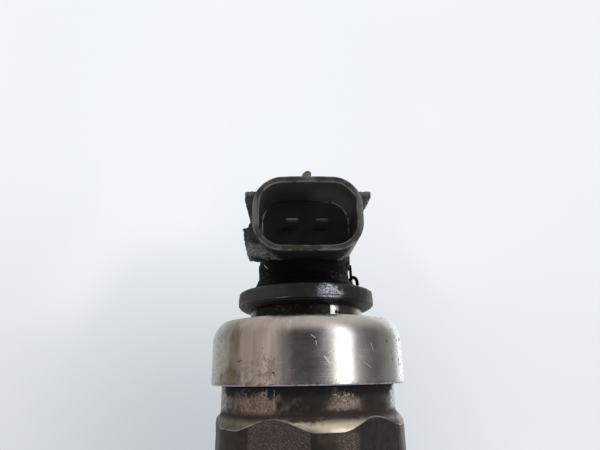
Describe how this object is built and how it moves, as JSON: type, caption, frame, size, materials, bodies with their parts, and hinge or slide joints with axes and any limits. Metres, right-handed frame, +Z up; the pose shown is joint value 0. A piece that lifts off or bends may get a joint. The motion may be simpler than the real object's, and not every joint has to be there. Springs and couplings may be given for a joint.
{
  "type": "common-rail diesel fuel injector",
  "caption": "Solenoid fuel injector: slim steel body with nozzle, side fuel inlet and return, hexagon, round cap nut, seal ring and sideways electrical connector.",
  "frame": {"origin": "on the injector's axis, in the plane where the copper washer meets the cylinder head", "axes": "+Z up the axis from the nozzle tip to the connector; -Y out of the connector's mouth; +Y out of the fuel inlet; +X out of the return nipple"},
  "size_m": [0.0476, 0.0566, 0.1991],
  "materials": {
    "dark_steel": "forged and turned steel, dulled by oil and rust",
    "satin_steel": "fine-turned satin with oil stains and scratches",
    "neck_steel": "turned steel under greasy grime",
    "nozzle_steel": "heat-tinted turned steel with soot near the tip",
    "plated_steel": "dull zinc-plated",
    "ground_steel": "ground",
    "spring_steel": "drawn wire",
    "soft_iron": "machined",
    "copper": "copper",
    "brass": "turned",
    "tinned": "tin-plated",
    "rubber": "black rubber with an oily film",
    "connector_plastic": "moulded glass-filled nylon, grimy",
    "bobbin_plastic": "moulded"
  },
  "bodies": {
    "injector": {"injector_body": "dark_steel", "body_oring": "rubber", "inlet_gasket": "copper", "inlet_union": "plated_steel", "edge_filter": "brass", "return_gasket": "copper", "return_fitting": "plated_steel", "nozzle_nut": "nozzle_steel", "nozzle_washer": "copper", "nozzle_body": "nozzle_steel", "distance_piece": "ground_steel", "distance_pins": "ground_steel", "nozzle_spring": "spring_steel", "nozzle_spring_shim": "ground_steel", "orifice_plate": "ground_steel", "orifice_pins": "ground_steel", "valve_body": "ground_steel", "valve_nut": "plated_steel", "valve_spring": "spring_steel", "valve_spring_shim": "ground_steel", "stator_core": "soft_iron", "coil_bobbin": "bobbin_plastic", "coil_winding": "copper", "coil_leads": "copper", "solenoid_shell": "neck_steel", "solenoid_oring": "rubber", "solenoid_nut": "satin_steel", "flange_seal": "rubber", "terminal_pins": "tinned", "connector_housing": "connector_plastic"},
    "needle": {"nozzle_needle": "ground_steel", "pressure_pin": "ground_steel", "command_piston": "ground_steel"},
    "valve": {"armature_plate": "soft_iron", "armature_stem": "ground_steel", "valve_ball": "ground_steel"}
  },
  "joints": [
    {"name": "needle_lift", "type": "slide", "parent": "injector", "child": "needle", "axis": [0, 0, 1], "range_m": [0, 0.00025], "stiffness_N_per_m": 30000, "springref_m": -0.001, "deforming": ["nozzle_spring"]},
    {"name": "valve_lift", "type": "slide", "parent": "injector", "child": "valve", "axis": [0, 0, 1], "range_m": [0, 0.00005], "stiffness_N_per_m": 20000, "springref_m": -0.001, "deforming": ["valve_spring"]}
  ]
}
